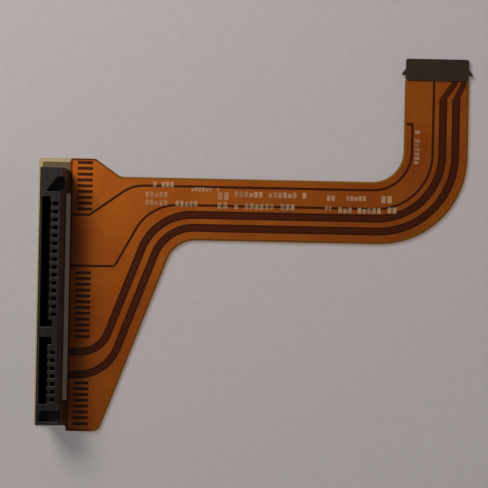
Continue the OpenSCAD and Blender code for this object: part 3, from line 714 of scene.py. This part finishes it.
# %% [markdown]
# ## The base film as a plain sheet
#
# In the CAD the shielding film is let into the base film, so the two share a surface.
# Where a clear body and a black one share a surface, a ray can meet either first. The
# sheet made here has the same outline and the same finger openings, and its underside
# lies a hair above the shield's, so a ray from above always meets the shield inside it.

# %% Make the base film
def slab_from_top(name, raise_floor):
    """A node's flat top, filled between its outlines and drawn down to just above its underside."""
    segments = top_edges(name)
    low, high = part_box(name)
    points = np.concatenate([segments.reshape(-1, 2), np.full((2 * len(segments), 1), high.z)], 1)
    mesh = bpy.data.meshes.new(name + "_sheet")
    mesh.from_pydata(points.tolist(), np.arange(len(points)).reshape(-1, 2).tolist(), [])
    work = bmesh.new()
    work.from_mesh(mesh)
    bmesh.ops.remove_doubles(work, verts=work.verts, dist=MERGE)
    bmesh.ops.triangle_fill(work, use_beauty=True, edges=work.edges)
    drawn = bmesh.ops.extrude_face_region(work, geom=list(work.faces))["geom"]
    moved = [g for g in drawn if isinstance(g, bmesh.types.BMVert)]
    bmesh.ops.translate(work, verts=moved, vec=(0, 0, low.z + raise_floor - high.z))
    bmesh.ops.recalc_face_normals(work, faces=work.faces)
    work.to_mesh(mesh)
    work.free()
    return mesh


base_mesh = slab_from_top("base_film", HAIR)
base_mesh.materials.append(BASE_FILM)
base_sheet = piece_of("base_film_sheet", base_mesh)
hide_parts("base_film")
print("base film faces:", len(base_mesh.polygons))

# %% [markdown]
# ## The housing with moulded edges
#
# A mould can't make a razor edge, and the thin bright lines that a small radius gives
# are what make black plastic readable. The CAD housing is copied, its doubled points are
# merged and its flat faces joined, and a Bevel modifier rounds each sharp edge by a few
# hundredths of a millimetre.

# %% Moulded housing
EDGE_RADIUS = 0.05 * MM
ONE_FACE = math.radians(0.5)
SHARP_EDGE = math.radians(35)


def moulded_copy(name, new_name, radius):
    """A merged copy of a CAD node whose sharp edges get a small radius."""
    work = bmesh.new()
    work.from_mesh(NODES[name].data)
    bmesh.ops.remove_doubles(work, verts=work.verts, dist=MERGE)
    bmesh.ops.dissolve_limit(work, angle_limit=ONE_FACE, verts=work.verts, edges=work.edges)
    mesh = bpy.data.meshes.new(new_name)
    work.to_mesh(mesh)
    work.free()
    mesh.shade_flat()
    piece = piece_of(new_name, mesh)
    rounding = piece.modifiers.new("moulded_edges", "BEVEL")
    rounding.width = radius
    rounding.segments = 2
    rounding.limit_method = "ANGLE"
    rounding.angle_limit = SHARP_EDGE
    rounding.use_clamp_overlap = True
    return piece


housing = moulded_copy("receptacle_housing", "receptacle_moulding", EDGE_RADIUS)
housing.data.materials.clear()
housing.data.materials.append(RESIN)
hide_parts("receptacle_housing")
print("housing faces before the bevel:", len(housing.data.polygons))

# %% [markdown]
# ## Solder on the lands
#
# Each contact's foot sits in solder that wetted its end and sides and drew out to the
# land's edge. Molten solder pulls itself into a concave slope, so the height falls as a
# square from the foot to the rim.

# %% Shape of the solder mounds
STEPS = 11  # grid points along each side of a mound
CREST = 1.3  # above 1, so that the mound's middle is cut flat where the foot lies in it


def mounds(middles, half_x, half_y, floor, lift):
    """On u and v in -1..1: z = floor + lift * min(1, CREST * ((1 - u * u) * (1 - v * v)) ** 2)."""
    u, v = np.meshgrid(np.linspace(-1, 1, STEPS), np.linspace(-1, 1, STEPS))
    height = np.minimum(CREST * ((1 - u**2) * (1 - v**2)) ** 2, 1)
    x = middles[:, 0, None, None] + half_x * u
    y = middles[:, 1, None, None] + half_y * v
    top = np.stack([x, y, np.broadcast_to(floor + lift * height, x.shape)], -1)
    flat = top.copy()
    flat[..., 2] = floor
    return np.stack([top, flat], 1).reshape(-1, 3)


def mound_faces(count):
    """Quads of each mound's top and, turned over, of its flat underside."""
    index = np.arange(STEPS * STEPS).reshape(STEPS, STEPS)
    corners = [index[:-1, :-1], index[:-1, 1:], index[1:, 1:], index[1:, :-1]]
    one = np.stack(corners, -1).reshape(-1, 4)
    both = np.concatenate([one, one[:, ::-1] + STEPS * STEPS])
    return (both + 2 * STEPS * STEPS * np.arange(count)[:, None, None]).reshape(-1, 4)


print("faces of one mound:", len(mound_faces(1)))

# %% Solder on every land
SOLDER_LIFT = 0.16 * MM
FOOT_SHOWS = 0.35 * MM
SIDE_WETTING = 0.62  # half a mound's width, in widths of a foot

pad_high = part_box("solder_pads")[1]
feet = [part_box(name) for name in CONTACTS]
middles = np.array([(high.x - FOOT_SHOWS / 2, (low.y + high.y) / 2) for low, high in feet])
half_x = pad_high.x - middles[0, 0]
half_y = SIDE_WETTING * (feet[0][1].y - feet[0][0].y)
mound_points = mounds(middles, half_x, half_y, pad_high.z, SOLDER_LIFT)
mesh = bpy.data.meshes.new("solder_fillets")
mesh.from_pydata(mound_points.tolist(), [], mound_faces(len(middles)).tolist())
work = bmesh.new()
work.from_mesh(mesh)
bmesh.ops.remove_doubles(work, verts=work.verts, dist=MERGE)
bmesh.ops.recalc_face_normals(work, faces=work.faces)
work.to_mesh(mesh)
work.free()
mesh.shade_smooth()
mesh.materials.append(TIN)
piece_of("solder_fillets", mesh)
print("solder mounds:", len(middles), " length in mm:", round(2 * half_x / MM, 2))

# %% [markdown]
# ## The bench and the light
#
# The bench is a sheet of pale grey packing foam. Part of its brightness is painted light:
# a weak glow of its own, which stands in for the light that spreads sideways inside foam
# and keeps its shadows faint.
# One soft panel stands beyond the receptacle's upper end, so the satin copper is brightest
# towards it, and the housing keeps that light off the copper beside it. A weak warm
# panel, low on the other side, picks out the housing's ledge. The room is a pale horizon
# that darkens overhead, which fills the shadows but leaves the clear film without a
# white reflection from straight above.

# %% Floor
FLOOR_SPAN = 1.6
PAINTED_FOAM_GLOW = 0.45


def floor_material():
    made, tree = blank("pale_packing_foam")
    place = add(tree, "TexCoord", {})["Object"]
    grain = add(tree, "TexNoise", {"Vector": place, "Scale": per(1.4), "Detail": 3.0})[0]
    tone = add(tree, "Mix", {0: grain, 6: linear("969293"), 7: linear("9E9A9B")}, data_type="RGBA")[2]
    # The emission is painted light: an even glow that keeps the floor's shadows faint.
    matt = add(tree, "BsdfPrincipled", {
        "Base Color": tone, "Roughness": 0.85, "Emission Color": tone, "Emission Strength": PAINTED_FOAM_GLOW,
    })[0]
    add(tree, "OutputMaterial", {"Surface": matt})
    return made


half = FLOOR_SPAN / 2
floor_mesh = bpy.data.meshes.new("bench_floor")
floor_mesh.from_pydata(
    [(-half, -half, 0), (half, -half, 0), (half, half, 0), (-half, half, 0)], [], [(0, 1, 2, 3)])
floor_mesh.materials.append(floor_material())
floor = bpy.data.objects.new("bench_floor", floor_mesh)
floor.location = (aim.x, aim.y, cad_low.z)
bpy.context.scene.collection.objects.link(floor)
print("floor at Z =", round(cad_low.z / MM, 2), "mm,", FLOOR_SPAN, "m wide")

# %% Lights
def panel(name, turn, rise, distance, size, watts, colour):
    """A square area light facing the part; turn is degrees from +Y towards -X, rise degrees up."""
    data = bpy.data.lights.new(name, "AREA")
    data.size = size
    data.energy = watts
    data.color = linear(colour)[:3]
    t, r = math.radians(turn), math.radians(rise)
    place = distance * Vector((-math.sin(t) * math.cos(r), math.cos(t) * math.cos(r), math.sin(r)))
    lamp = bpy.data.objects.new(name, data)
    lamp.location = Vector((aim.x, aim.y, 0)) + place
    lamp.rotation_euler = (-place).to_track_quat("-Z", "Y").to_euler()
    bpy.context.scene.collection.objects.link(lamp)
    print(name, "shows an angle of", round(math.degrees(size / distance), 1), "degrees")


panel("key_panel", turn=40, rise=39.5, distance=0.316, size=0.13, watts=0.89, colour="FFF8F2")
panel("side_panel", turn=268, rise=16, distance=0.5, size=0.3, watts=0.3, colour="FFDDB8")

# %% Room
HORIZON = 0.5
OVERHEAD = 0.06
OVERHEAD_FROM = 0.85  # the sine of the height above the horizon

world = bpy.data.worlds.new("soft_room")
world.use_nodes = True
room = world.node_tree
room.nodes.clear()
upward = add(room, "SeparateXYZ", {0: add(room, "TexCoord", {})["Generated"]})["Z"]
strength = add(room, "MapRange", {0: upward, 1: 0.0, 2: OVERHEAD_FROM, 3: HORIZON, 4: OVERHEAD})[0]
glow = add(room, "Background", {"Color": linear("DAD5D3"), "Strength": strength})[0]
add(room, "OutputWorld", {"Surface": glow})
bpy.context.scene.world = world
bpy.context.scene.view_settings.view_transform = "Standard"
print("the room is", round(HORIZON / OVERHEAD, 1), "times brighter at the horizon than overhead")
